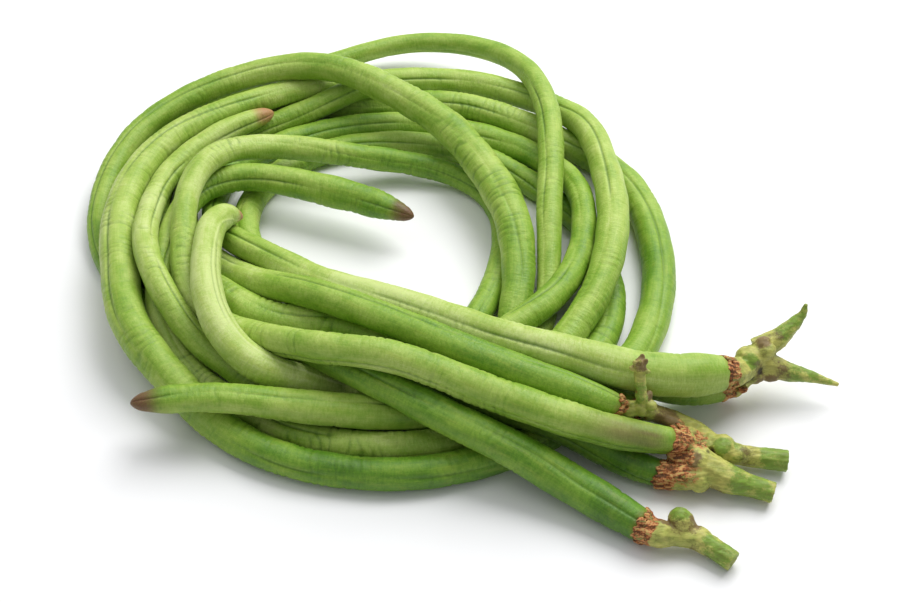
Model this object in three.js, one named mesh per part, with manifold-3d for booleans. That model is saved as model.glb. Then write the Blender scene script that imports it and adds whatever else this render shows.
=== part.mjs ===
// A bunch of seven yardlong beans, coiled clockwise into a ring and laid on a flat surface.
// The stalk ends lie together at the right. Millimetres, +Z up, +X towards the stalks.
//
// Each pod is a round tube with a shallow seam on two sides, swept along a route of hand-chosen points.
// The routes give only where each pod goes and what it lies over. The settle step then lets the pods
// push each other apart, as real ones do, so that they rest on each other and on the surface.
// Each stalk is a few tapered limbs and round buds, joined into one solid.

import * as THREE from 'three';
import Module from 'manifold-3d';
import { mergeVertices } from 'three/addons/utils/BufferGeometryUtils.js';

// Driving dimensions of the pods
const RING_STEP = 8; // distance between two rings of a pod
const POD_SIDES = 10;
const SEAM_DEPTH = 0.1; // how far the two seams lie in, as a share of the pod's radius
const SEAM_SIDES = [3, 8]; // corners of the section that carry the seams, counted from the top
const TIP_ROUNDING = 0.8; // length of the last cone at a tip, in tip radii
const FLAT_DEPTH = 0.4; // how much of a pod is flattened where it rests on the surface
const GAP = 0.4; // air left between two pods that touch

// Driving values of the settle step
const SETTLE_STEPS = 500;
const LAST_STEPS = 60; // steps at the end that only push apart
const PULL_HOME = 0.05; // share of the way back to its route that a point moves in one step
const SINK = 0.05; // how far a point falls in one step
const STIFFNESS = 0.6; // how much a point's shift follows that of its neighbours
const OWN_SKIP = 5; // rings of the same pod that are too close together to be pushed apart

// Driving dimensions of the stalks
const LIMB_SIDES = 8;
const STALK_GAP = 0.3; // air between a pod's end and its stalk
const COLLAR_LENGTH = 1.2; // straight piece of stalk next to a pod
const COLLAR_SHARE = 0.92; // its radius, as a share of the pod's

// Colours from the photo
const POD_GREEN = 0x8db451;
const STALK_GREEN = 0xa3a552;

// Routes of the pods, stem end first. A point is [x, y, height of the centre, radius].
const PODS = [
  {
    name: 'pod_1',
    route: [
      [73, -41, 12, 4.6], [66, -43, 13, 5.9], [45, -47, 16, 5.4], [24, -43, 18, 4.9],
      [-3, -30, 17, 4.6], [-36, -15, 16, 4.4], [-61, 7, 12, 4.2], [-69, 19, 8, 3.9],
      [-74, 38, 4.5, 3.8], [-69, 56, 4.5, 3.8], [-42, 73, 5, 4.1], [-3, 75, 6, 4.3],
      [28, 58, 6, 4.1], [41, 32, 7, 3.8], [41, 12, 8, 3.8], [31, -10, 9, 4.2],
      [8, -31, 4.5, 4.3], [-12, -38, 4.5, 4.4], [-28, -43, 6, 4.5], [-42, -44, 10, 4.6],
      [-52, -42, 16, 4.6], [-60, -35, 21, 4.5], [-66, -22, 23, 4.4], [-69, -3, 22, 4.2],
      [-70, 13, 20, 4], [-67, 22, 18, 3.6], [-63, 20, 16, 2.4],
    ],
  },
  {
    name: 'pod_2',
    route: [
      [75, -39, 6, 3.8], [68, -40, 6, 4.8], [40, -42, 8, 4.5], [8, -34, 10, 4.4],
      [-25, -19, 10, 4.2], [-51, 2, 8, 4], [-62, 24, 5, 3.9], [-63, 35, 4.5, 3.9],
      [-52, 57, 4.5, 3.9], [-24, 71, 4.5, 3.9], [0, 71, 4.5, 3.9], [26, 50, 4.5, 3.9],
      [40, 32, 4.4, 3.8], [46, 12, 4.3, 3.8], [47, -8, 4.4, 4.1], [33, -37, 4.5, 4.2],
      [3, -52, 4.5, 4.2], [-29, -53, 4.5, 4.2], [-56, -44, 5, 4], [-72, -30, 7, 3.8],
      [-79, -12, 9, 3.8], [-78, 12, 10, 3.8], [-76, 32, 11, 3.9], [-70, 42, 12, 4.1],
      [-60, 43, 13, 4.2], [-45, 38, 13, 4.7], [-32, 34, 13, 4.9], [-21, 29, 13, 4.2],
      [-15, 26, 13, 3.2], [-12, 24, 13, 1.9],
    ],
  },
  {
    name: 'pod_3',
    route: [
      [44, -52, 12, 2.8], [39, -51, 14, 3.6], [29, -50, 18, 4.2], [8, -42, 22, 4.4],
      [-13, -30, 20, 4.4], [-42, -14, 16, 4.3], [-65, 3, 9, 4.1], [-77, 17, 5, 3.9],
      [-83, 36, 4.4, 3.8], [-75, 64, 4.4, 3.8], [-43, 84, 5, 3.9], [-13, 94, 8, 4],
      [16, 91, 10, 4], [40, 70, 12, 4.3], [46, 42, 14, 4.6], [45, 12, 14, 4.8],
      [38, -13, 12, 4.6], [20, -37, 9, 4.4], [-3, -52, 8, 4.6], [-31, -54, 11, 4.6],
      [-47, -51, 13, 4.3], [-63, -49, 13, 3.9], [-72, -50, 13, 3.7], [-78, -50, 13, 3.2],
      [-82, -51, 13, 2],
    ],
  },
  {
    name: 'pod_4',
    route: [
      [50, -51, 9, 3.4], [40, -50, 9, 4.6], [19, -44, 10, 5], [-3, -38, 12, 5.1],
      [-27, -29, 12, 5.1], [-56, -20, 10, 4.7], [-79, 4, 4.7, 4.2], [-90, 27, 4.5, 3.9],
      [-91, 52, 4.5, 3.9], [-79, 74, 4.5, 3.9], [-58, 83, 4.5, 4], [-30, 84, 5, 4.2],
      [-3, 79, 8, 4.3], [30, 69, 8, 4.4], [53, 53, 5, 4.5], [61, 25, 5, 4.9],
      [60, -2, 5, 5], [50, -28, 5, 4.7], [25, -49, 4.7, 4.5], [-3, -57, 4.5, 4.4],
      [-31, -56, 4.5, 4.4], [-52, -47, 5, 4.6], [-71, -34, 9, 5.2], [-89, -8, 12, 5.4],
      [-97, 22, 12, 5.3], [-93, 50, 12, 4.7], [-82, 66, 12, 4.4], [-67, 77, 12, 4.1],
      [-52, 83, 12, 3.9], [-39, 86, 12, 3], [-33, 88, 12, 1.5],
    ],
  },
  {
    name: 'pod_5',
    route: [
      [58, -60, 8, 3.6], [49, -60, 10, 4.3], [28, -56, 15, 4.6], [8, -52, 19, 4.6],
      [-13, -48, 20, 4.5], [-35, -40, 17, 4.3], [-52, -30, 12, 4.1], [-66, -22, 10, 3.9],
      [-77, -12, 11, 3.8], [-80, 7, 12, 3.8], [-80, 28, 12.5, 3.8], [-69, 47, 14, 3.8], [-50, 54, 13, 3.8],
      [-28, 54, 10, 3.7], [-4, 54, 6, 3.7], [13, 43, 4.5, 3.7], [18, 20, 4.5, 3.7],
      [13, -3, 4.5, 3.8], [8, -14, 4.5, 3.6], [4, -22, 4.5, 2.6], [2, -27, 4.5, 1.4],
    ],
  },
  {
    name: 'pod_6',
    route: [
      [56, -67, 6, 3.6], [49, -64, 6, 4.2], [29, -55, 8, 4.4], [5, -46, 10, 4.3],
      [-24, -34, 10, 4.1], [-57, -18, 7, 4], [-84, 2, 4.5, 3.9], [-97, 25, 4.5, 3.8],
      [-97, 55, 4.5, 3.8], [-81, 86, 5, 3.7], [-43, 106, 7, 3.4], [-17, 116, 9, 3.3],
      [3, 113, 11, 3.4], [20, 100, 14, 3.6], [30, 75, 16.5, 3.9], [31, 50, 17, 4.1],
      [29, 22, 14, 3.8], [28, -3, 7, 3.3], [28, -13, 4.5, 3.4], [18, -33, 4.5, 3.8],
      [-6, -46, 4.5, 3.8], [-29, -47, 4.5, 3.8], [-55, -38, 5, 3.8], [-74, -20, 8, 3.8],
      [-85, 5, 12, 3.8], [-87, 41, 12, 3.7], [-79, 56, 12, 3.7], [-70, 65, 12, 3.7],
      [-63, 71, 12, 3.3], [-58, 73, 12, 2.3],
    ],
  },
  {
    name: 'pod_7',
    route: [
      [49, -85, 5, 4.2], [40, -78, 5, 5], [18, -65, 8, 5], [-3, -56, 13, 4.7],
      [-24, -44, 12, 4.3], [-58, -26, 5, 4], [-85, -9, 4.5, 3.9], [-103, 17, 4.5, 3.9],
      [-106, 40, 6, 3.9], [-97, 68, 10, 4], [-76, 85, 14, 4.1], [-45, 89, 18, 4.3],
      [-21, 77, 19, 4.7], [0, 60, 17, 5.1], [15.5, 32, 13, 5.5], [20, 10, 10, 5],
      [19.5, -10, 8, 4.6], [18, -20, 7, 3.6], [16, -26, 6, 1.8],
    ],
  },
];

// Stalks. A limb is a chain of [x, y, z, radius], and one that names a pod starts at that pod's end.
// A bud is a ball of the same four values.
const STALKS = [
  {
    name: 'stalk_1',
    limbs: [
      { pod: 'pod_1', points: [[78, -38.5, 12.5, 3.8], [82, -34, 12, 4.2], [86, -33, 12, 3.2]] },
      { pod: 'pod_2', points: [[79.5, -37, 8, 3], [82, -35, 11, 3]] },
      {
        points: [
          [83, -32, 13, 3.8], [89, -30, 16, 2.9], [93, -27.5, 19, 2],
          [95.2, -26, 21.2, 1.2], [95.8, -25, 24, 0.6],
        ],
      },
      { points: [[84, -34, 11, 3.6], [91, -36, 9, 2.8], [98, -37, 8, 1.7], [105, -39, 7, 0.6]] },
    ],
    buds: [[80, -36, 14, 3.8], [85, -32, 11, 3.6], [82, -36, 9, 3.6]],
  },
  {
    name: 'stalk_2',
    limbs: [
      {
        pod: 'pod_3',
        points: [
          [49, -55, 16, 2], [54, -53.3, 11.5, 2.4], [59, -52, 8, 2.4],
          [65, -53.8, 5.5, 2.6], [69, -60, 5, 3.8],
        ],
      },
      { pod: 'pod_4', points: [[54.5, -51, 9, 2.2], [58, -52, 8.3, 2.1]] },
      { points: [[50.5, -54.3, 14, 1.9], [49, -55.3, 21, 1.6], [48.3, -52, 27, 1.5]] },
      { points: [[69, -60, 5, 3.8], [76, -61, 4, 2.8], [88, -63, 4, 3]] },
    ],
    buds: [[48.3, -51.8, 28, 1.8], [51.8, -56, 18, 1.5], [71, -60, 5.5, 4]],
  },
  {
    name: 'stalk_3',
    limbs: [
      {
        pod: 'pod_5',
        points: [
          [62.5, -62.5, 8.6, 3.4], [65, -66.5, 6.5, 4.4], [72, -70, 5, 3.9],
          [77, -71, 4, 3], [83, -73, 3.5, 2.8],
        ],
      },
      { pod: 'pod_6', points: [[60.5, -69.5, 5.6, 3.6], [66, -68, 6, 3.6]] },
    ],
    buds: [[63.5, -66.5, 8.2, 3.6], [64, -70, 5, 3.4], [62, -66.5, 7, 3]],
  },
  {
    name: 'stalk_4',
    limbs: [
      {
        pod: 'pod_7',
        points: [
          [53, -87, 4.8, 3.6], [56, -87.3, 4.5, 2.6], [61, -87.5, 4, 3],
          [65, -90, 3.7, 2.8], [70, -94, 3, 2.7],
        ],
      },
    ],
    buds: [[57.8, -84.5, 6.6, 3.4]],
  },
];

// Route of one pod as evenly spaced rings, each with its centre and radius.
function ringsAlong(route) {
  const spots = route.map((p) => new THREE.Vector3(p[0], p[1], p[2]));
  const curve = new THREE.CatmullRomCurve3(spots, false, 'centripetal');
  const count = Math.round(curve.getLength() / RING_STEP);
  const rings = [];
  for (let i = 0; i <= count; i += 1) {
    const t = curve.getUtoTmapping(i / count);
    const spot = t * (route.length - 1);
    const before = Math.min(Math.floor(spot), route.length - 2);
    const share = spot - before;
    const radius = route[before][3] * (1 - share) + route[before + 1][3] * share;
    const centre = curve.getPoint(t);
    rings.push({ centre, home: centre.clone(), radius });
  }
  return rings;
}

// Closest points of the segments a0-a1 and b0-b1, as shares along them and the vector from a to b.
function closest(a0, a1, b0, b1) {
  const d1 = a1.clone().sub(a0);
  const d2 = b1.clone().sub(b0);
  const r = a0.clone().sub(b0);
  const a = d1.dot(d1);
  const e = d2.dot(d2);
  const b = d1.dot(d2);
  const c = d1.dot(r);
  const f = d2.dot(r);
  const denominator = a * e - b * b;
  let s = denominator > 1e-6 ? THREE.MathUtils.clamp((b * f - c * e) / denominator, 0, 1) : 0.5;
  const t = THREE.MathUtils.clamp((b * s + f) / e, 0, 1);
  s = THREE.MathUtils.clamp((b * t - c) / a, 0, 1);
  const between = b0.clone().addScaledVector(d2, t).sub(a0.clone().addScaledVector(d1, s));
  return { s, t, between };
}

// Every pair of pod segments that could touch.
function nearPairs(chains) {
  const pairs = [];
  const reach = RING_STEP + 14;
  for (let m = 0; m < chains.length; m += 1) {
    for (let n = m; n < chains.length; n += 1) {
      for (let i = 0; i < chains[m].length - 1; i += 1) {
        const first = m === n ? i + OWN_SKIP : 0;
        for (let j = first; j < chains[n].length - 1; j += 1) {
          if (chains[m][i].centre.distanceTo(chains[n][j].centre) < reach) {
            pairs.push([chains[m][i], chains[m][i + 1], chains[n][j], chains[n][j + 1]]);
          }
        }
      }
    }
  }
  return pairs;
}

// Pushes one pair apart. Gives how far it overlapped.
function pushApart([a0, a1, b0, b1]) {
  const { s, t, between } = closest(a0.centre, a1.centre, b0.centre, b1.centre);
  const radiusA = a0.radius * (1 - s) + a1.radius * s;
  const radiusB = b0.radius * (1 - t) + b1.radius * t;
  const distance = between.length();
  const overlap = radiusA + radiusB + GAP - distance;
  if (overlap <= 0) return 0;
  const weight = (1 - s) ** 2 + s ** 2 + (1 - t) ** 2 + t ** 2;
  const push = between.multiplyScalar(overlap / weight / Math.max(distance, 1e-6));
  a0.centre.addScaledVector(push, -(1 - s));
  a1.centre.addScaledVector(push, -s);
  b0.centre.addScaledVector(push, 1 - t);
  b1.centre.addScaledVector(push, t);
  return overlap;
}

// Lets all pods come to rest on each other and on the surface.
function settle(chains) {
  let pairs = [];
  let worst = 0;
  for (let step = 0; step < SETTLE_STEPS; step += 1) {
    const free = step < SETTLE_STEPS - LAST_STEPS;
    if (step % 10 === 0) pairs = nearPairs(chains);
    if (free) {
      for (const rings of chains) {
        const shifts = rings.map((ring) => ring.centre.clone().sub(ring.home));
        rings.forEach((ring, i) => {
          const before = shifts[Math.max(i - 1, 0)];
          const after = shifts[Math.min(i + 1, rings.length - 1)];
          const shared = before.clone().add(after).multiplyScalar(0.5);
          const shift = shifts[i].clone().lerp(shared, STIFFNESS).multiplyScalar(1 - PULL_HOME);
          ring.centre.copy(ring.home).add(shift);
          ring.centre.z -= SINK;
        });
      }
    }
    worst = 0;
    for (const pair of pairs) worst = Math.max(worst, pushApart(pair));
    for (const rings of chains) {
      for (const ring of rings) ring.centre.z = Math.max(ring.centre.z, ring.radius - FLAT_DEPTH);
    }
  }
  return worst;
}

// Closed tube through a chain of centres, with a flat end at its start and a cone at its tip.
// corner(k) gives the angle of corner k from the top, and its share of the radius.
function tube(centres, radii, sides, corner, reference, tipLength) {
  const positions = [];
  const indices = [];
  const last = centres.length - 1;
  const add = (point) => positions.push(point.x, point.y, point.z);
  const direction = (from, to) => centres[to].clone().sub(centres[from]).normalize();
  centres.forEach((centre, i) => {
    const along = direction(Math.max(i - 1, 0), Math.min(i + 1, last));
    const side = along.clone().cross(reference).normalize();
    const up = side.clone().cross(along);
    for (let k = 0; k < sides; k += 1) {
      const { angle, share } = corner(k);
      const point = centre.clone();
      point.addScaledVector(up, Math.cos(angle) * radii[i] * share);
      point.addScaledVector(side, Math.sin(angle) * radii[i] * share);
      add(point);
    }
  });
  add(centres[0]);
  add(centres[last].clone().addScaledVector(direction(last - 1, last), tipLength));
  const startMiddle = centres.length * sides;
  for (let k = 0; k < sides; k += 1) {
    const next = (k + 1) % sides;
    for (let i = 0; i < last; i += 1) {
      const here = i * sides;
      const there = here + sides;
      indices.push(here + k, here + next, there + k, there + k, here + next, there + next);
    }
    indices.push(startMiddle, next, k, startMiddle + 1, last * sides + k, last * sides + next);
  }
  const geometry = new THREE.BufferGeometry();
  geometry.setAttribute('position', new THREE.Float32BufferAttribute(positions, 3));
  geometry.setIndex(indices);
  return geometry;
}

// A pod, flattened where it meets the surface.
function podGeometry(rings) {
  const corner = (k) => ({
    angle: (2 * Math.PI * (k + 0.5)) / POD_SIDES,
    share: SEAM_SIDES.includes(k) ? 1 - SEAM_DEPTH : 1,
  });
  const radii = rings.map((ring) => ring.radius);
  const tipLength = radii[radii.length - 1] * TIP_ROUNDING;
  const centres = rings.map((ring) => ring.centre);
  const geometry = tube(centres, radii, POD_SIDES, corner, new THREE.Vector3(0, 0, 1), tipLength);
  const { array } = geometry.attributes.position;
  for (let i = 2; i < array.length; i += 3) array[i] = Math.max(array[i], 0);
  return geometry;
}

const wasm = await Module();
wasm.setup();

function toSolid(source) {
  const bare = source.clone();
  bare.deleteAttribute('normal');
  bare.deleteAttribute('uv');
  const merged = mergeVertices(bare, 1e-4);
  return new wasm.Manifold(new wasm.Mesh({
    numProp: 3,
    vertProperties: Float32Array.from(merged.attributes.position.array),
    triVerts: Uint32Array.from(merged.index.array),
  }));
}

function toGeometry(solid) {
  const mesh = solid.getMesh();
  const geometry = new THREE.BufferGeometry();
  geometry.setAttribute('position', new THREE.BufferAttribute(Float32Array.from(mesh.vertProperties), 3));
  geometry.setIndex(new THREE.BufferAttribute(Uint32Array.from(mesh.triVerts), 1));
  return geometry;
}

function ball([x, y, z, radius]) {
  const geometry = new THREE.IcosahedronGeometry(radius, 1);
  geometry.translate(x, y, z);
  return toSolid(geometry);
}

// Tapered limb through its points.
function limb(points) {
  const corner = (k) => ({ angle: (2 * Math.PI * k) / LIMB_SIDES, share: 1 });
  const centres = points.map((p) => new THREE.Vector3(p[0], p[1], p[2]));
  const radii = points.map((p) => p[3]);
  return toSolid(tube(centres, radii, LIMB_SIDES, corner, new THREE.Vector3(0, 1, 0), 0));
}

// Points of a limb. One that carries a pod begins with a short straight piece just off the pod's end.
function limbPoints({ pod, points }, chains) {
  if (!pod) return points;
  const [first, second] = chains[PODS.findIndex(({ name }) => name === pod)];
  const out = first.centre.clone().sub(second.centre).normalize();
  const start = [STALK_GAP, STALK_GAP + COLLAR_LENGTH].map((distance) => {
    const spot = first.centre.clone().addScaledVector(out, distance);
    return [spot.x, spot.y, spot.z, first.radius * COLLAR_SHARE];
  });
  return [...start, ...points];
}

function stalkSolid({ limbs, buds }, chains) {
  const solids = limbs.map((entry) => limb(limbPoints(entry, chains)));
  const whole = wasm.Manifold.union([...solids, ...buds.map(ball)]);
  return whole.trimByPlane([0, 0, 1], 0);
}

const group = new THREE.Group();
const chains = PODS.map((pod) => ringsAlong(pod.route));
const overlapLeft = settle(chains);
if (overlapLeft > GAP) throw new Error(`pods still overlap by ${overlapLeft} mm`);
const podMaterial = new THREE.MeshStandardMaterial({ color: POD_GREEN, roughness: 0.45, metalness: 0 });
const stalkMaterial = new THREE.MeshStandardMaterial({ color: STALK_GREEN, roughness: 0.6, metalness: 0 });

PODS.forEach((pod, i) => {
  const mesh = new THREE.Mesh(podGeometry(chains[i]), podMaterial);
  mesh.name = pod.name;
  group.add(mesh);
});

for (const stalk of STALKS) {
  const mesh = new THREE.Mesh(toGeometry(stalkSolid(stalk, chains)), stalkMaterial);
  mesh.name = stalk.name;
  group.add(mesh);
}

// The origin is at the middle of the bunch, on the surface.
const extent = new THREE.Box3().setFromObject(group);
const middle = extent.getCenter(new THREE.Vector3());
for (const mesh of group.children) mesh.geometry.translate(-middle.x, -middle.y, -extent.min.z);

export default group;
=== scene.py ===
# %% [markdown]
# A bunch of seven yardlong beans lies coiled on a white surface. This lesson turns plain CAD tubes into
# bean pods: the route of each pod is read from its solid, and a finer skin is laid along that route.
# The CAD solids stay as they are. Each finished piece takes the place of its solid in the picture.

# %% Load the CAD frame
import math

import bmesh
import bpy
import numpy as np
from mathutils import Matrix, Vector, noise


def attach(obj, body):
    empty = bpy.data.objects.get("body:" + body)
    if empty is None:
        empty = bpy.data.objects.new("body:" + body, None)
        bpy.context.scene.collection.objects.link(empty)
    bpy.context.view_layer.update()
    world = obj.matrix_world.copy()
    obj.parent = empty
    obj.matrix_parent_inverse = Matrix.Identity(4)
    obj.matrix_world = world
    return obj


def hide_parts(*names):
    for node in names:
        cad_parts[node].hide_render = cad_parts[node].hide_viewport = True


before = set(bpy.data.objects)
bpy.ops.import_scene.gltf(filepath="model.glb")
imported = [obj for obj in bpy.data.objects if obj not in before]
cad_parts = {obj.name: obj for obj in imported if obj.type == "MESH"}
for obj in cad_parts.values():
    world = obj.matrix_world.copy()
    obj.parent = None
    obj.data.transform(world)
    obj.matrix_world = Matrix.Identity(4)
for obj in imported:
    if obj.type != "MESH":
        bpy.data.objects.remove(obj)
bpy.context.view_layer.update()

# %% [markdown]
# The camera stands where the photographer stood: in front of the bunch, looking down at 45 degrees
# through a short telephoto lens. It is made first, because the seams of the pods are later turned to
# where this viewer sees them in the photograph.

# %% Camera
MM = 0.001
CAMERA_SPOT = Vector((2.8, -329.9, 318.2)) * MM
CAMERA_AIM = Vector((2.8, -11.7, 0.0)) * MM
LENS_MM = 61.8


def make_camera():
    """The photograph's viewpoint."""
    data = bpy.data.cameras.new("camera")
    data.lens = LENS_MM
    data.sensor_width = 36.0
    camera = bpy.data.objects.new("camera", data)
    camera.location = CAMERA_SPOT
    camera.rotation_euler = (CAMERA_AIM - CAMERA_SPOT).to_track_quat("-Z", "Y").to_euler()
    bpy.context.scene.collection.objects.link(camera)
    bpy.context.scene.camera = camera
    return camera


make_camera()
TO_VIEWER = np.array((CAMERA_SPOT - CAMERA_AIM).normalized())
print("camera looks along", [round(-v, 3) for v in TO_VIEWER])

# %% [markdown]
# A pod's solid is a tube of rings with ten corners each and a single corner at either end. A pod could
# be drawn again by hand as a curve, but then it would no longer rest on its neighbours. The solids
# already do, so the centre line and the thickness are read from them, from ring to ring.

# %% Centre line of a pod
RING_CORNERS = 10
WELD = 0.002 * MM
EASE_ROUNDS = 2
TIP_SHARE = 0.75  # thickness of a pod just before its tip is rounded off, as a share of the last ring


def welded(node):
    """The mesh of a CAD node with its triangles joined at their corners."""
    mesh = bmesh.new()
    mesh.from_mesh(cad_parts[node].data)
    bmesh.ops.remove_doubles(mesh, verts=mesh.verts, dist=WELD)
    mesh.verts.index_update()
    return mesh


def neighbours(vert):
    """Corners that share an edge with this one."""
    return [edge.other_vert(vert) for edge in vert.link_edges]


def stand_off(vert):
    """How far an end corner stands off the middle of the ring around it."""
    ring = neighbours(vert)
    return (sum((v.co for v in ring), Vector()) / len(ring) - vert.co).length


def eased(centres):
    """The same line with its small corners taken off. Points move only across the line."""
    line = centres.copy()
    for _ in range(EASE_ROUNDS):
        chord = line[2:] - line[:-2]
        chord /= np.linalg.norm(chord, axis=1)[:, None]
        move = 0.25 * line[:-2] - 0.5 * line[1:-1] + 0.25 * line[2:]
        line[1:-1] += move - (move * chord).sum(axis=1)[:, None] * chord
    return line


def pod_rings(node):
    """Centre and radius of each ring of a pod in mm, from the stem end to the tip."""
    mesh = welded(node)
    ends = [v for v in mesh.verts if len(v.link_edges) == RING_CORNERS]
    tip = max(ends, key=stand_off)
    rings = []
    seen = {tip}
    ring = [tip]
    while ring:
        rings.append([v.co / MM for v in ring])
        beyond = {w for v in ring for w in neighbours(v)} - seen
        seen |= beyond
        ring = sorted(beyond, key=lambda v: v.index)
    mesh.free()
    rings = rings[-2::-1]
    centres = np.array([np.mean(ring, axis=0) for ring in rings])
    radii = np.array([max((v - Vector(c)).length for v in ring) for ring, c in zip(rings, centres)])
    radii[-1] = TIP_SHARE * radii[-2]
    return eased(centres), radii


POD_NAMES = sorted(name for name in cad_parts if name.startswith("pod"))
for name in POD_NAMES:
    centres, radii = pod_rings(name)
    length = np.linalg.norm(np.diff(centres, axis=0), axis=1).sum()
    print(name, len(radii), "rings,", round(length), "mm long, thickest", round(2 * radii.max(), 1), "mm")

# %% [markdown]
# The rings are too far apart for a smooth bend. A subdivision surface would round them too, but it would
# make the pod thinner. So a Catmull-Rom curve runs through all rings and is cut into half-millimetre
# steps, short enough for the fine folds of the skin. Towards both ends the steps get shorter and the
# radius follows a quarter circle, which rounds the ends off.

# %% Smooth line
STEP = 0.5
END_STEPS = 9
POINTS_PER_RING = 30
STEM_REACH = 2.4
TIP_REACH_SHARE = 1.7


def through(points, t):
    """Catmull-Rom curve through the points, at the places t counted in points."""
    first = 2 * points[0] - points[1]
    last = 2 * points[-1] - points[-2]
    padded = np.concatenate([[first], points, [last]])
    i = np.minimum(t.astype(int), len(points) - 2)
    f = (t - i)[:, None]
    a, b, c, d = padded[i], padded[i + 1], padded[i + 2], padded[i + 3]
    return 0.5 * (2 * b + (c - a) * f + (2 * a - 5 * b + 4 * c - d) * f**2 + (3 * b - a - 3 * c + d) * f**3)


def end_places(reach):
    """Distances from an end that crowd together as a circle's rings do."""
    angle = np.linspace(0, math.pi / 2, END_STEPS + 1)[1:-1]
    return reach * (1 - np.cos(angle))


def rounded(distance, reach):
    """Share of the full radius at a distance from a round end."""
    inner = 1 - np.minimum(distance / reach, 1)
    return np.sqrt(1 - inner**2)


def smooth_pod(name):
    """Distance, centre and radius at each fine ring, both end points and the radius at the stem end."""
    centres, radii = pod_rings(name)
    tip_reach = TIP_REACH_SHARE * radii[-2]
    t = np.linspace(0, len(centres) - 1, POINTS_PER_RING * len(centres))
    fine = through(np.column_stack([centres, radii]), t)
    run = np.concatenate([[0], np.cumsum(np.linalg.norm(np.diff(fine[:, :3], axis=0), axis=1))])
    length = run[-1]
    count = int((length - STEM_REACH - tip_reach) / STEP)
    middle = np.linspace(STEM_REACH, length - tip_reach, count)
    along = np.concatenate([end_places(STEM_REACH), middle, length - end_places(tip_reach)[::-1]])
    line = np.column_stack([np.interp(along, run, fine[:, k]) for k in range(4)])
    radius = line[:, 3] * rounded(along, STEM_REACH) * rounded(length - along, tip_reach)
    return along, line[:, :3], radius, (fine[0, :3], fine[-1, :3]), radii[0]


print("pod_1 gets", len(smooth_pod("pod_1")[0]), "fine rings")

# %% [markdown]
# Nothing on a bean is quite even. Blender's own noise fills space and knows nothing of a coiled pod, so
# this noise is laid over the unrolled skin, in two directions: along the pod and around it. A table of
# random numbers is read with soft steps between its cells, and it closes on itself around the pod. A
# fixed seed makes it come out the same each time.

# %% Noise over the skin


def skin_noise(along, turns, cell, columns, seed):
    """Smooth noise between -1 and 1. cell is its length along the pod in mm, columns its patches around."""
    rows = int(along.max() / cell) + 3
    table = np.random.RandomState(seed).uniform(-1, 1, (rows, columns))
    u, v = np.broadcast_arrays(along / cell, (turns % 1.0) * columns)
    i, j = np.floor(u).astype(int), np.floor(v).astype(int)
    fu, fv = u - i, v - j
    fu, fv = fu * fu * (3 - 2 * fu), fv * fv * (3 - 2 * fv)
    low = table[i, j % columns] * (1 - fv) + table[i, (j + 1) % columns] * fv
    high = table[i + 1, j % columns] * (1 - fv) + table[i + 1, (j + 1) % columns] * fv
    return low * (1 - fu) + high * fu


def soft_step(value, low, high):
    """0 below low, 1 above high and smooth between them."""
    t = np.clip((value - low) / (high - low), 0, 1)
    return t * t * (3 - 2 * t)


first_millimetres = skin_noise(np.arange(5.0), np.zeros(1), 2, 1, 1)
print("noise over the first 5 mm:", first_millimetres.round(2))

# %% [markdown]
# Each pod has its own look. The seam is where the two halves of the pod meet: one side is a groove, the
# other a low rib between two fine lines. Its place is given as degrees from the side that faces the
# viewer towards the inside of the coil, at several shares of the pod's length. Paleness and wrinkles
# follow the photograph in the same way, and a dried tip is a length in millimetres. One formula for all
# pods would be shorter, but the pods of a real bunch differ in age and in how they have dried.

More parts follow.
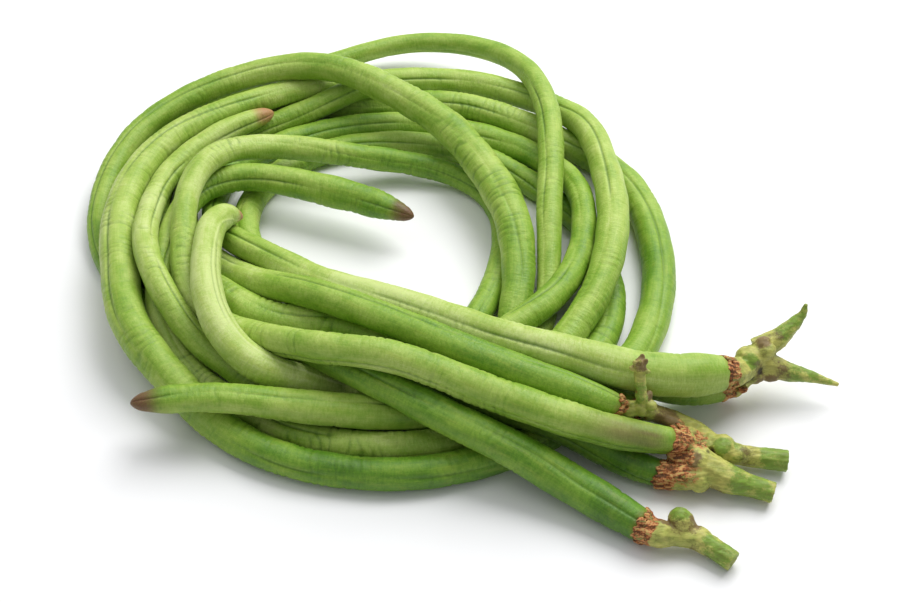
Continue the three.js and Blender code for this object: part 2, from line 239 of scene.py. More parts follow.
# %% Looks of the seven pods
# The paleness keys hold each pod's own tone and painted light: low where a strand lies low in shade, high
# where it lies on top in the light.
POD_LOOKS = {
    "pod_1": {
        "seed": 11,
        "seam": [
            (0, -22), (0.05, -12), (0.12, 4), (0.25, 25), (0.4, 0),
            (0.55, -4), (0.7, 40), (0.85, 232), (1, 222),
        ],
        "pale_and_lit": [
            (0, 0.6), (0.07, 0.84), (0.2, 0.98), (0.35, 0.42),
            (0.5, 0.5), (0.65, 0.56), (0.84, 0.82), (1, 0.9),
        ],
        "wrinkle": [(0, 0.5), (0.4, 0.4), (0.85, 0.6), (1, 0.3)],
        "dark_tip": 0.0,
        "tan_tip": 3.0,
    },
    "pod_2": {
        "seed": 23,
        "seam": [(0, 30), (0.2, -35), (0.5, 20), (0.75, 35), (0.9, 12), (1, 0)],
        "pale_and_lit": [
            (0, 0.5), (0.3, 0.62), (0.6, 0.45), (0.75, 0.78),
            (0.84, 0.72), (0.92, 0.58), (1, 0.42),
        ],
        "wrinkle": [(0, 0.5), (0.7, 1.0), (1, 0.6)],
        "dark_tip": 9.0,
        "tan_tip": 0.0,
    },
    "pod_3": {
        "seed": 37,
        "seam": [(0, 60), (0.2, 50), (0.45, 10), (0.6, -8), (0.75, 50), (0.9, 40), (1, 20)],
        "pale_and_lit": [
            (0, 0.46), (0.1, 0.5), (0.24, 0.74), (0.5, 0.7),
            (0.75, 0.62), (0.9, 0.66), (1, 0.55),
        ],
        "wrinkle": [(0, 0.15), (0.3, 0.5), (1, 0.6)],
        "dark_tip": 11.5,
        "tan_tip": 0.0,
    },
    "pod_4": {
        "seed": 41,
        "seam": [(0, 40), (0.16, 32), (0.4, 0), (0.6, -15), (0.8, -22), (0.9, -28), (1, -10)],
        "pale_and_lit": [
            (0, 0.56), (0.15, 0.66), (0.4, 0.66), (0.58, 0.46),
            (0.7, 0.28), (0.86, 0.88), (1, 0.7),
        ],
        "wrinkle": [(0, 1.0), (0.2, 1.3), (0.5, 0.6), (0.85, 0.8), (1, 0.5)],
        "dark_tip": 5.0,
        "tan_tip": 0.0,
    },
    "pod_5": {
        "seed": 53,
        "seam": [(0, -60), (0.2, -48), (0.45, -70), (0.7, 20), (1, 10)],
        "pale_and_lit": [(0, 0.56), (0.15, 0.68), (0.3, 0.74), (0.5, 0.84), (0.7, 0.55), (1, 0.4)],
        "wrinkle": [(0, 0.4), (0.3, 0.8), (0.6, 1.0), (1, 0.5)],
        "dark_tip": 6.0,
        "tan_tip": 0.0,
    },
    "pod_6": {
        "seed": 67,
        "seam": [(0, -50), (0.3, 40), (0.45, 70), (0.6, 30), (0.8, 60), (1, 30)],
        "pale_and_lit": [(0, 0.25), (0.25, 0.4), (0.42, 0.62), (0.6, 0.6), (0.8, 0.7), (0.92, 0.84), (1, 0.75)],
        "wrinkle": [(0, 0.8), (0.45, 0.3), (0.8, 1.0), (1, 0.6)],
        "dark_tip": 0.0,
        "tan_tip": 9.0,
    },
    "pod_7": {
        "seed": 79,
        "seam": [(0, 18), (0.25, 22), (0.45, -30), (0.6, -20), (0.78, 4), (0.9, -6), (1, 0)],
        "pale_and_lit": [
            (0, 0.26), (0.15, 0.34), (0.4, 0.5), (0.55, 0.62),
            (0.75, 0.64), (0.9, 0.62), (1, 0.5),
        ],
        "wrinkle": [(0, 0.6), (0.3, 0.6), (0.65, 0.5), (0.85, 1.1), (1, 0.6)],
        "dark_tip": 5.0,
        "tan_tip": 0.0,
    },
}


def along_pod(keys, share):
    """Value of a look at each share of the pod's length."""
    places, values = zip(*keys)
    return np.interp(share, places, values)


print(len(POD_LOOKS), "looks")

# %% [markdown]
# Now the skin itself. Around each ring the corners crowd towards both seams, so that these narrow lines
# come out sharp without a heavy mesh. Every corner knows how far along the pod it is, which way it looks
# and how far from the seam it lies. All later steps read these places.

# %% Places on a pod's skin
AROUND = 44
CROWDING = 0.3
SEAM_WANDER = 7.0  # degrees that a seam swings to either side
WANDER_CELL = 17  # mm, as all cells
UP = np.array([0.0, 0.0, 1.0])


def pod_axes(line):
    """Unit vectors along the line, to the inside of the coil and up from it, for each fine ring."""
    forward = np.gradient(line, axis=0)
    forward /= np.linalg.norm(forward, axis=1)[:, None]
    inside = np.cross(forward, UP)
    inside /= np.linalg.norm(inside, axis=1)[:, None]
    return forward, inside, np.cross(inside, forward)


class PodSkin:
    """Places on one pod's skin: a row for each fine ring, a column for each corner around it."""

    def __init__(self, name):
        self.look = POD_LOOKS[name]
        self.seed = self.look["seed"]
        self.along, self.line, self.radius, self.ends, self.stem_radius = smooth_pod(name)
        self.length = self.along[-1]
        self.share = self.along / self.length
        self.forward, self.inside, self.up = pod_axes(self.line)
        self.facing = np.arctan2(self.inside @ TO_VIEWER, self.up @ TO_VIEWER)[:, None]
        wander = skin_noise(self.along, np.zeros(1), WANDER_CELL, 1, self.seed + 11)
        seam = np.radians(along_pod(self.look["seam"], self.share) + SEAM_WANDER * wander)
        even = np.arange(AROUND) * 2 * math.pi / AROUND
        from_seam = (even - CROWDING * np.sin(2 * even))[None, :]
        self.angle = self.facing + seam[:, None] + from_seam
        self.rows = self.along[:, None]
        self.turns = self.angle / (2 * math.pi)
        self.half = np.sin(from_seam)
        self.is_rib = np.cos(from_seam) < 0

    def noise(self, cell, columns, step):
        """Smooth noise over this pod. Each step gives a different one."""
        return skin_noise(self.rows, self.turns, cell, columns, self.seed + step)

    def look_at(self, key):
        """A value of this pod's look at each ring."""
        return along_pod(self.look[key], self.share)[:, None]


print("pod_1 has", PodSkin("pod_1").angle.shape, "rings and corners around")

# %% [markdown]
# The two halves of a pod meet in two seams. One is a groove in a shallow valley, the other a low rib
# between two fine lines, and both fade out in places. They could be bump in the shader, but they catch
# the light and show at the pod's edge, so they are real relief. Each line is a bell curve of the
# distance from the seam, because that has soft edges. Depths are shares of the radius, here and below.

# %% Seams
SEAM_WIDTH = 0.1
VALLEY_WIDTH = 4 * SEAM_WIDTH
SIDE_LINES_AT = 1.9 * SEAM_WIDTH
SIDE_LINE_WIDTH = 0.7 * SEAM_WIDTH
GROOVE = 0.085
GROOVE_VALLEY = 0.06
RIB = 0.034
RIB_VALLEY = 0.035
SIDE_LINE = 0.42 * GROOVE
FADE_CELL = 19
FAINTEST = 0.15


def bell(distance, width):
    """1 at no distance and nearly 0 beyond twice the width."""
    return np.exp(-((distance / width) ** 2))


def seam_fade(skin):
    """How clear the seams are at each ring."""
    clear = soft_step(skin_noise(skin.rows, np.zeros((1, 1)), FADE_CELL, 1, skin.seed), -0.6, 0.4)
    return FAINTEST + (1 - FAINTEST) * clear


def side_lines(skin):
    """1 on the two fine lines beside the rib."""
    return bell(np.abs(skin.half) - SIDE_LINES_AT, SIDE_LINE_WIDTH)


def seam_relief(skin):
    """Height of both seams."""
    fade = seam_fade(skin)
    near = bell(skin.half, SEAM_WIDTH)
    valley = bell(skin.half, VALLEY_WIDTH)
    groove = -GROOVE * fade * near - GROOVE_VALLEY * valley
    rib = RIB * near - SIDE_LINE * fade * side_lines(skin) - RIB_VALLEY * valley
    return np.where(skin.is_rib, rib, groove)


print("deepest seam of pod_1:", round(-seam_relief(PodSkin("pod_1")).min(), 3), "of its radius")

# %% [markdown]
# Between the seams the pod has two plump halves. Over each seed it swells a little, and nowhere is it
# quite round. The seeds themselves are never seen, so only their swelling is made. They lie at uneven
# distances, as they do in a real pod, and slow noise adds the rest.

# %% Plump halves and seeds
SEED_PITCH = 13.0
SEED_GAPS = (0.75, 1.3)  # least and most, in pitches
SEED_HEIGHTS = (0.3, 1.0)
SEED_LENGTH = 4.2
SEED_SWELL = 0.06
PLUMP = 0.03
SLOW_RELIEF = [(0.04, 22, 3, 1), (0.024, 8, 6, 2)]  # height, length in mm, patches around, noise step
DENT = 0.02
DENT_CELL = 11


def seed_swell(skin):
    """Swelling over the seeds, up to 1 at the middle of a seed and 0 between them."""
    pick = np.random.RandomState(skin.seed)
    count = int(skin.length / SEED_PITCH) + 4
    places = np.cumsum(pick.uniform(*SEED_GAPS, count) * SEED_PITCH)
    heights = pick.uniform(*SEED_HEIGHTS, count)
    swell = np.zeros_like(skin.rows)
    for place, height in zip(places, heights):
        swell += height * bell(skin.rows - place, SEED_LENGTH)
    return swell


def body_relief(skin):
    """Height of the plump halves, the seeds, the slow unevenness and the dents."""
    relief = PLUMP * skin.half**2 + SEED_SWELL * seed_swell(skin) * (0.35 + 0.65 * skin.half**2)
    for height, cell, columns, step in SLOW_RELIEF:
        relief = relief + height * skin.noise(cell, columns, step)
    return relief - DENT * soft_step(skin.noise(DENT_CELL, 7, 8), 0.35, 0.8)


print("pod_1 swells by up to", round(body_relief(PodSkin("pod_1")).max(), 3), "of its radius")

# %% [markdown]
# As a pod dries a little, its skin shrinks into fine folds across it. They could be sculpted one by one,
# but there are hundreds on each pod. So a cosine along the pod gives the folds, noise bends them, and a
# power makes them narrow. They break off after a short way around, come in patches, and get weak at
# the tip.

# %% Cross folds
FOLD_PITCH = 2.3
FOLD_DEPTH = 0.085
FOLD_SHARPNESS = 2.5
FOLD_BENDS = [(1.3, 5, 5, 4), (0.5, 2.2, 8, 12)]  # mm moved, length in mm, patches around, noise step
PATCH_CELL = 16
BREAK_CELL = 2.6
SMOOTH_TIP = 3.0
TIP_FOLDS = 0.4


def cross_folds(skin):
    """How deep the skin is folded at each corner, from 0 to about 1."""
    bent = skin.rows
    for amount, cell, columns, step in FOLD_BENDS:
        bent = bent + amount * skin.noise(cell, columns, step)
    folds = (0.5 + 0.5 * np.cos(2 * math.pi * bent / FOLD_PITCH)) ** FOLD_SHARPNESS
    broken = soft_step(skin.noise(BREAK_CELL, 6, 5), -0.35, 0.45)
    patch = soft_step(skin.noise(PATCH_CELL, 4, 3), -0.9, 0.25)
    folds = folds * broken * patch * skin.look_at("wrinkle")
    folds[skin.along > skin.length - SMOOTH_TIP] *= TIP_FOLDS
    return folds


print("pod_4 is folded over", round(100 * (cross_folds(PodSkin("pod_4")) > 0.3).mean()), "% of its skin")

# %% [markdown]
# The reliefs are added up and the skin is laid around the line. The swellings point outward, so the
# whole skin is made a little slimmer to keep the size of the solid. Where a pod would go through the
# surface it lies on, it is pressed flat, as in the solid.

# %% Corners of the skin
SLIMMER = 0.035
LOWEST = 0.02  # mm above the surface


def skin_points(skin, folds):
    """Corners of a pod's skin in mm."""
    fold_relief = -FOLD_DEPTH * folds * (1 - 0.5 * bell(skin.half, SEAM_WIDTH))
    shape = 1 + seam_relief(skin) + body_relief(skin) + fold_relief - SLIMMER
    reach = (skin.radius[:, None] * shape)[..., None]
    upward = np.cos(skin.angle)[..., None] * skin.up[:, None, :]
    inward = np.sin(skin.angle)[..., None] * skin.inside[:, None, :]
    points = skin.line[:, None, :] + reach * (upward + inward)
    points[..., 2] = np.maximum(points[..., 2], LOWEST)
    return points


skin = PodSkin("pod_1")
print("pod_1 is up to", round(skin_points(skin, cross_folds(skin))[..., 2].max(), 1), "mm high")

# %% [markdown]
# Colour follows form. Shade is painted into the folds, the groove and the fine lines beside the rib,
# which are darker. The rib is paler, and the paleness along each pod holds both its own tone, paler where
# the pod is older, and painted light: lower where a strand lies low in shade, higher where it lies on top
# in the light. Tips dry up brown or tan with a ragged edge, and the stem end has a scar. One pod has a
# purple-brown flush near its stem. This could be painted on an image, but numbers on the corners need no
# image and always lie exactly on the form that they belong to.

# %% Values for the material
FOLD_SHADE = 0.8
SIDE_LINE_SHADE = 0.7
PALE_RIB = 0.22
PALE_GROOVE = 0.05
RAGGED_EDGE = 1.1
FULLY_DRIED = 0.3  # share of the dried length
SCAR = 0.5
FLUSHED_POD = "pod_5"
FLUSH_STARTS = (2, 8)  # mm from the stem end
FLUSH_ENDS = (15, 34)
FLUSH_TURN = 0.35  # angle from the side that faces the viewer
SKIN_RADIUS = 5  # mm, the same for all pods, so that the noise of the shader has one size


def dried(to_tip, length):
    """1 at the tip and 0 beyond the dried length."""
    if length == 0:
        return 0 * to_tip
    return 1 - soft_step(to_tip, FULLY_DRIED * length, length)


def paleness_and_painted_light(skin):
    """Paleness and painted light: slow along the pod, more on the seams, with some unevenness."""
    on_seams = np.where(skin.is_rib, PALE_RIB, PALE_GROOVE) * bell(skin.half, SEAM_WIDTH)
    return skin.look_at("pale_and_lit") + 0.15 * skin.noise(24, 3, 7) + on_seams + 0.06 * skin.noise(6, 4, 9)


def flush_on(name, skin):
    """The purple-brown flush of one pod, on the side towards the viewer."""
    if name != FLUSHED_POD:
        return np.zeros_like(skin.angle)
    stretch = soft_step(skin.rows, *FLUSH_STARTS) * (1 - soft_step(skin.rows, *FLUSH_ENDS))
    side = soft_step(np.cos(skin.angle - skin.facing - FLUSH_TURN), 0.35, 1.0)
    streaks = 0.5 + 0.5 * skin_noise(skin.rows, skin.turns, 9, 26, 501)
    return stretch * side * (0.35 + 0.65 * streaks)


def skin_values(name, skin, folds):
    """All values for the material, by name."""
    # Painted shade: darker on the fine lines beside the rib, in the groove and in the folds.
    lines = np.where(skin.is_rib, SIDE_LINE_SHADE * side_lines(skin), bell(skin.half, SEAM_WIDTH))
    ragged = RAGGED_EDGE * skin.noise(2.5, 6, 10)
    to_tip = skin.length - skin.rows + ragged
    around = [skin.rows + 0 * skin.angle, SKIN_RADIUS * np.cos(skin.angle), SKIN_RADIUS * np.sin(skin.angle)]
    return {
        # Paleness with painted light in it, then the painted shade of the creases.
        "pale_and_lit": paleness_and_painted_light(skin),
        "crease_shade": lines * seam_fade(skin) + FOLD_SHADE * folds,
        "dark_tip": dried(to_tip, skin.look["dark_tip"]),
        "tan_tip": dried(to_tip, skin.look["tan_tip"]),
        "stem_scar": SCAR * soft_step(-(skin.rows + ragged), -3.2, -0.3),
        "flush": flush_on(name, skin),
        "unrolled": np.stack(around, axis=-1),
    }


print("values for the material:", list(skin_values("pod_1", skin, cross_folds(skin))))

# %% [markdown]
# A mesh needs a list of corners and a list of faces. The rings are joined by four-sided faces and each
# end is closed with a fan. Faces could be added one at a time with bmesh, but numpy makes the whole
# list at once. The values for the material are stored on the corners as attributes, where the shader
# can read them by name.

# %% Mesh helpers


def closed_tube(rings, around):
    """Faces of a tube of rings, closed with a fan at each end. The end corners come last."""
    i = np.arange(rings - 1)[:, None] * around
    j = np.arange(around)[None, :]
    k = (j + 1) % around
    sides = np.stack([i + j, i + k, i + around + k, i + around + j], axis=-1).reshape(-1, 4)
    start, end = rings * around, rings * around + 1
    last = (rings - 1) * around
    faces = sides.tolist()
    faces += [[start, (n + 1) % around, n] for n in range(around)]
    faces += [[end, last + n, last + (n + 1) % around] for n in range(around)]
    return faces


def store(mesh, name, values):
    """Writes one number or one vector per corner as an attribute."""
    values = np.asarray(values, dtype=np.float32)
    if values.ndim == 1:
        layer = mesh.attributes.new(name, "FLOAT", "POINT")
        layer.data.foreach_set("value", values)
    else:
        layer = mesh.attributes.new(name, "FLOAT_VECTOR", "POINT")
        layer.data.foreach_set("vector", values.ravel())


def new_piece(name, mesh):
    """A mesh as an object in the scene, with smooth shading."""
    mesh.polygons.foreach_set("use_smooth", np.ones(len(mesh.polygons), dtype=bool))
    piece = bpy.data.objects.new(name, mesh)
    bpy.context.scene.collection.objects.link(piece)
    return piece


def with_ends(values, ends=None):
    """One row per corner, then the two end corners. They take the mean of their ring if none are given."""
    flat = values.reshape(values.shape[0] * values.shape[1], -1)
    if ends is None:
        ends = (values[0].mean(axis=0), values[-1].mean(axis=0))
    joined = np.concatenate([flat, np.reshape(ends, (2, -1))])
    return joined[:, 0] if joined.shape[1] == 1 else joined


print("a tube of 3 rings of 4 has", len(closed_tube(3, 4)), "faces")

# %% [markdown]
# Now all seven pods are made in one loop. The place, direction and radius of each stem end are kept,
# because the stalks are fitted to them later.

# %% Make the seven pods


def pod_piece(name, skin):
    """A finished pod."""
    folds = cross_folds(skin)
    corners = with_ends(skin_points(skin, folds), skin.ends) * MM
    mesh = bpy.data.meshes.new(f"{name}_skin")
    mesh.from_pydata(corners.tolist(), [], closed_tube(len(skin.along), AROUND))
    for label, values in skin_values(name, skin, folds).items():
        store(mesh, label, with_ends(values))
    return new_piece(f"{name}_skin", mesh)


stem_ends = {}
pods = {}
for name in POD_NAMES:
    skin = PodSkin(name)
    pods[name] = pod_piece(name, skin)
    stem_ends[name] = {"at": skin.line[0], "out": -skin.forward[END_STEPS], "radius": skin.stem_radius}
    print(name, "has", 2 * len(pods[name].data.polygons), "triangles at most")

# %% [markdown]
# Bean skin is green with paler, yellower parts, faint streaks along the pod, tiny freckles and a satin
# gloss that changes a little from place to place. A shader for it could be wired by hand in the editor.
# Here small helpers place and wire the nodes, so that a layer of colour is one line. The noise is
# stretched along the pod, because it reads the unrolled skin.

# %% Shader helpers


class Shader:
    """A node tree that is filled in step by step."""

    def __init__(self, name):
        self.material = bpy.data.materials.new(name)
        self.material.use_nodes = True
        self.nodes = self.material.node_tree.nodes
        self.links = self.material.node_tree.links
        self.surface = self.nodes["Principled BSDF"]

    def join(self, value, socket):
        """Sets a socket to a number or colour, or links it to another socket."""
        if isinstance(value, bpy.types.NodeSocket):
            self.links.new(value, socket)
        else:
            socket.default_value = value

    def value(self, name):
        """A number stored on the corners."""
        node = self.nodes.new("ShaderNodeAttribute")
        node.attribute_name = name
        return node.outputs["Fac"]

    def vector(self, name):
        """A vector stored on the corners."""
        node = self.nodes.new("ShaderNodeAttribute")
        node.attribute_name = name
        return node.outputs["Vector"]

    def scaled(self, vector, scale):
        """A vector with each of its parts scaled."""
        node = self.nodes.new("ShaderNodeVectorMath")
        node.operation = "MULTIPLY"
        self.join(vector, node.inputs[0])
        node.inputs[1].default_value = scale
        return node.outputs[0]

    def cloud(self, vector, scale, detail=3.0, rough=0.55):
        """Noise between about 0.25 and 0.75."""
        node = self.nodes.new("ShaderNodeTexNoise")
        self.join(vector, node.inputs["Vector"])
        node.inputs["Scale"].default_value = scale
        node.inputs["Detail"].default_value = detail
        node.inputs["Roughness"].default_value = rough
        return node.outputs["Fac"]

    def fit(self, value, low, high, to_low=0.0, to_high=1.0):
        """A value moved from one range to another and kept inside it."""
        node = self.nodes.new("ShaderNodeMapRange")
        node.interpolation_type = "SMOOTHSTEP"
        self.join(value, node.inputs["Value"])
        for socket, number in zip(("From Min", "From Max", "To Min", "To Max"), (low, high, to_low, to_high)):
            node.inputs[socket].default_value = number
        return node.outputs["Result"]

    def swing(self, cloud, change, spread=0.2):
        """Noise as a change between minus and plus a number."""
        return self.fit(cloud, 0.5 - spread, 0.5 + spread, -change, change)

    def math(self, kind, a, b):
        """Two values put together."""
        node = self.nodes.new("ShaderNodeMath")
        node.operation = kind
        self.join(a, node.inputs[0])
        self.join(b, node.inputs[1])
        return node.outputs[0]

    def mix(self, share, a, b, kind="MIX"):
        """Colour a changed by b as far as share says."""
        node = self.nodes.new("ShaderNodeMix")
        node.data_type = "RGBA"
        node.blend_type = kind
        self.join(share, node.inputs[0])
        self.join(a, node.inputs[6])
        self.join(b, node.inputs[7])
        return node.outputs[2]

    def ramp(self, value, stops):
        """A run of colours."""
        node = self.nodes.new("ShaderNodeValToRGB")
        elements = node.color_ramp.elements
        while len(elements) < len(stops):
            elements.new(0.5)
        for element, (place, colour) in zip(elements, stops):
            element.position = place
            element.color = colour
        self.join(value, node.inputs[0])
        return node.outputs[0]

    def bump(self, height, strength, distance, normal=None):
        """Fine relief that is too small for the mesh."""
        node = self.nodes.new("ShaderNodeBump")
        node.inputs["Strength"].default_value = strength
        node.inputs["Distance"].default_value = distance
        self.join(height, node.inputs["Height"])
        if normal is not None:
            self.join(normal, node.inputs["Normal"])
        return node.outputs["Normal"]

    def finish(self, colour, roughness, normal, gloss=0.4):
        """Links the layers to the surface."""
        self.join(colour, self.surface.inputs["Base Color"])
        self.join(roughness, self.surface.inputs["Roughness"])
        self.join(normal, self.surface.inputs["Normal"])
        self.surface.inputs["Specular IOR Level"].default_value = gloss
        return self.material


def rgb(red, green, blue):
    """A colour given as it looks on the screen, 0 to 255, turned into the light values of a shader."""
    parts = [(c / 255) for c in (red, green, blue)]
    return tuple(c / 12.92 if c <= 0.04045 else ((c + 0.055) / 1.055) ** 2.4 for c in parts) + (1.0,)


print("mid green of the pods as light values:", [round(c, 3) for c in rgb(120, 160, 62)])

# %% [markdown]
# The colours of the skin run from the deep green of shaded, young parts to the pale yellow-green of lit,
# old ones, so the run serves for the skin's own greens and for painted light. A green for each pod would
# look painted, as a real pod changes along its length. So the stored paleness, painted light included,
# picks the place on this run, and streaks, patches, pores and cross marks from noise move it a little to
# either side.

# %% Greens of the skin
GREENS = [
    (0.0, rgb(56, 98, 16)),
    (0.3, rgb(92, 138, 28)),
    (0.55, rgb(132, 168, 52)),
    (0.8, rgb(168, 192, 90)),
    (1.0, rgb(194, 210, 130)),
]
YELLOW_TINGE = rgb(176, 180, 78)
FRECKLE = rgb(150, 152, 70)


def skin_green(s, skin, streaks, patches, pores, cross):
    """Green of the skin with its painted light, unevenness, yellow tinge and freckles."""
    tone = s.math("ADD", s.value("pale_and_lit"), s.swing(streaks, 0.04))
    tone = s.math("ADD", tone, s.swing(patches, 0.1))
    tone = s.math("ADD", tone, s.swing(pores, 0.05))
    tone = s.math("ADD", tone, s.swing(cross, 0.05, 0.18))
    colour = s.ramp(tone, GREENS)
    yellow = s.fit(s.cloud(s.scaled(skin, (0.25, 1.0, 1.0)), 0.6, 2.0), 0.5, 0.8, 0.0, 0.22)
    colour = s.mix(yellow, colour, YELLOW_TINGE)
    freckles = s.fit(s.cloud(skin, 2.4, 1.0), 0.64, 0.76, 0.0, 0.3)
    return s.mix(freckles, colour, FRECKLE)


print("the skin runs through", len(GREENS), "greens")

# %% [markdown]
# Painted shade in the creases, the flush, the dried tips and the stem scar are laid over the green. Each
# could be a material of its own, but then its edge would be a hard line. Values stored on the corners say
# where instead, and the pores make the dried parts uneven.

# %% Marks and painted crease shade on the skin
# Green of the painted shade in the groove, beside the rib and in the folds.
CREASE_SHADE_GREEN = rgb(66, 106, 26)
FLUSH_BROWN = rgb(120, 90, 68)
DRIED_PARTS = [
    ("tan_tip", rgb(176, 120, 88)),
    ("dark_tip", rgb(108, 60, 48)),
    ("stem_scar", rgb(140, 84, 40)),
]


def with_marks(s, colour, pores):
    """The green with painted shade in its creases, and its brown parts."""
    # Painted shade: the creases are mixed towards a darker green.
    crease_shade = s.fit(s.value("crease_shade"), 0.1, 1.1, 0.0, 0.6)
    colour = s.mix(crease_shade, colour, CREASE_SHADE_GREEN)
    flush = s.math("MULTIPLY", s.value("flush"), 0.75)
    colour = s.mix(flush, colour, FLUSH_BROWN)
    edge = s.fit(pores, 0.35, 0.65, 0.75, 1.0)
    for part, brown in DRIED_PARTS:
        colour = s.mix(s.math("MULTIPLY", s.value(part), edge), colour, brown)
    return colour


print("dried parts:", [part for part, _ in DRIED_PARTS])

# %% [markdown]
# Bean skin has a satin gloss, and a little light goes through its outer layer. Its finest relief could be
# in the mesh, but that would take millions of faces, so it is bump. The same noises move the colour and
# the bump, so that the two belong together.

# %% Pod material
STREAK_BUMP = (0.15, 0.1 * MM)  # strength and height
PORE_BUMP = (0.3, 0.08 * MM)
CROSS_BUMP = (0.65, 0.4 * MM)
SATIN = (0.42, 0.56)
LIGHT_DEPTH = 1.2 * MM


def pod_material():
    """Satin bean skin: greens, streaks, freckles, creases and dried tips."""
    s = Shader("bean_skin")
    skin = s.vector("unrolled")
    streaks = s.cloud(s.scaled(skin, (0.06, 1.0, 1.0)), 2.6, 4.0)
    patches = s.cloud(s.scaled(skin, (0.5, 1.0, 1.0)), 0.22, 3.0)
    pores = s.cloud(skin, 3.4, 3.0, 0.6)
    cross = s.cloud(s.scaled(skin, (1.0, 0.3, 0.3)), 1.7, 4.0, 0.62)
    colour = with_marks(s, skin_green(s, skin, streaks, patches, pores, cross), pores)
    roughness = s.fit(patches, 0.3, 0.7, *SATIN)
    normal = s.bump(streaks, *STREAK_BUMP)
    normal = s.bump(pores, *PORE_BUMP, normal)
    normal = s.bump(cross, *CROSS_BUMP, normal)
    s.surface.inputs["Subsurface Weight"].default_value = 0.07
    s.surface.inputs["Subsurface Radius"].default_value = (0.6, 1.0, 0.25)
    s.surface.inputs["Subsurface Scale"].default_value = LIGHT_DEPTH
    return s.finish(colour, roughness, normal, 0.42)


bean_skin = pod_material()
for name, piece in pods.items():
    piece.data.materials.append(bean_skin)
    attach(piece, "root")
    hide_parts(name)
print("bean skin has", len(bean_skin.node_tree.nodes), "nodes")

# %% [markdown]
# Behind each pod comes a knobbly piece of stalk that was cut or torn. These are lumpy, grown-together
# forms, so they are made as one heap of egg-shaped lumps around the CAD stalk. A Boolean union would
# leave sharp lines between the lumps, so a voxel remesh later melts the heap into one skin.

# %% Lumps on the stalks
STALK_NAMES = sorted(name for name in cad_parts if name.startswith("stalk"))


def lump(heap, at, axis, along, across, thick):
    """Adds an egg-shaped lump, given in mm, to a heap."""
    turn = Vector(axis).normalized().to_track_quat("X", "Z").to_matrix()
    size = Vector((along, across, thick))
    made = bmesh.ops.create_icosphere(heap, subdivisions=2, radius=1.0)
    for vert in made["verts"]:
        local = Vector([a * b for a, b in zip(vert.co, size)])
        vert.co = (turn @ local + Vector(at)) * MM


def flat_lump(heap, at, axis, outward, size):
    """Adds a flat lump that lies along axis with its thin side facing outward."""
    x = axis.normalized()
    z = (outward - x * x.dot(outward)).normalized()
    y = z.cross(x)
    made = bmesh.ops.create_icosphere(heap, subdivisions=2, radius=1.0)
    for vert in made["verts"]:
        spot = x * vert.co.x * size[0] + y * vert.co.y * size[1] + z * vert.co.z * size[2]
        vert.co = (at + spot) * MM


print("stalks:", STALK_NAMES)

# %% [markdown]
# Each pod sits in a dried brown cup of small scales, the calyx. The scales are flat lumps in rings around
# the pod's end. They lean outward a little and get smaller away from the pod. A seeded random number
# makes each scale different, because even rings would look turned on a lathe.

# %% Scales of the calyx
SCALES_IN_ROW = (10, 9)
OVER_POD = 0.9  # mm that the first ring reaches over the pod
NARROWS = 0.3


def calyx(heap, end, pick, reach, rows):
    """Scales in rings around the end of a pod."""
    out = Vector(end["out"])
    side = out.cross(Vector((0, 0, 1))).normalized()
    top = side.cross(out)
    for row in range(rows):
        share = row / max(rows - 1, 1)
        ring = end["radius"] * (1.0 - NARROWS * share)
        count = SCALES_IN_ROW[row % 2]
        for n in range(count):
            angle = 2 * math.pi * (n + 0.5 * row + pick.uniform(-0.2, 0.2)) / count
            outward = math.cos(angle) * side + math.sin(angle) * top
            place = -OVER_POD + reach * share + pick.uniform(-0.5, 0.4)
            at = Vector(end["at"]) + out * place + outward * ring * pick.uniform(0.84, 0.98)
            lean = out - outward * pick.uniform(0.0, 0.35)
            wide = ring * pick.uniform(0.28, 0.4)
            size = (pick.uniform(1.1, 2.0), wide, pick.uniform(0.4, 0.7))
            flat_lump(heap, at, lean, outward, size)


print("a calyx of two rows has", sum(SCALES_IN_ROW), "scales")
